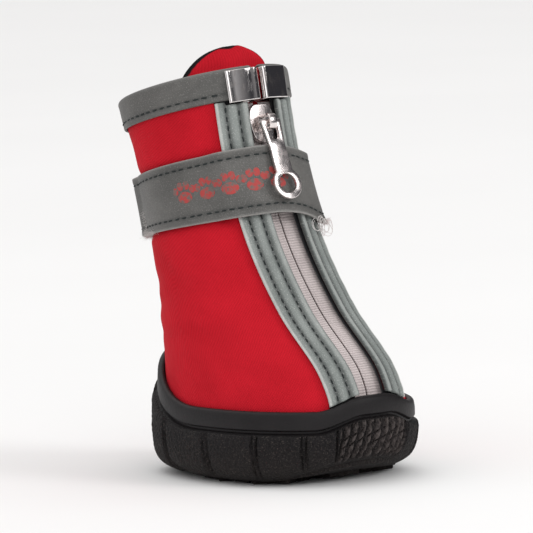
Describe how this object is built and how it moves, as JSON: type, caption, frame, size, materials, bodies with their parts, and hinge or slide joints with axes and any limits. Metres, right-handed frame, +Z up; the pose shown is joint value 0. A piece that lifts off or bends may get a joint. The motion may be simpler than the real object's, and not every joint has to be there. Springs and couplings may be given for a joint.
{
  "type": "dog bootie",
  "caption": "Small rubber-soled dog bootie: leaning fabric shaft with a full front zip, grey facings, an ankle strap and a tongue behind the zip.",
  "frame": {"origin": "middle of the tread pad, on the floor", "axes": "+Z up along the height, toe towards -Y, the animal's right side towards -X"},
  "size_m": [0.0634, 0.1004, 0.1196],
  "materials": {
    "rubber": "matt moulded",
    "softshell": "matt twill",
    "webbing": "grey reflective",
    "tape": "smooth pale",
    "foam": "black felt",
    "metal": "polished"
  },
  "bodies": {
    "boot": {"outsole": "rubber", "insole": "foam", "upper": "softshell", "tongue": "softshell", "collar_binding": "webbing", "facing_right": "webbing", "facing_left": "webbing", "zip_tape_right": "tape", "zip_tape_left": "tape", "clip_right": "metal", "clip_left": "metal", "strap": "webbing", "slider": "metal"},
    "pull_tab": {"pull": "metal"}
  },
  "joints": [
    {"name": "pull_tab_hinge", "type": "hinge", "parent": "boot", "child": "pull_tab", "pos_m": [0, 0.00056, 0.09876], "axis": [-1, 0, 0], "range_deg": [0, 150]}
  ]
}
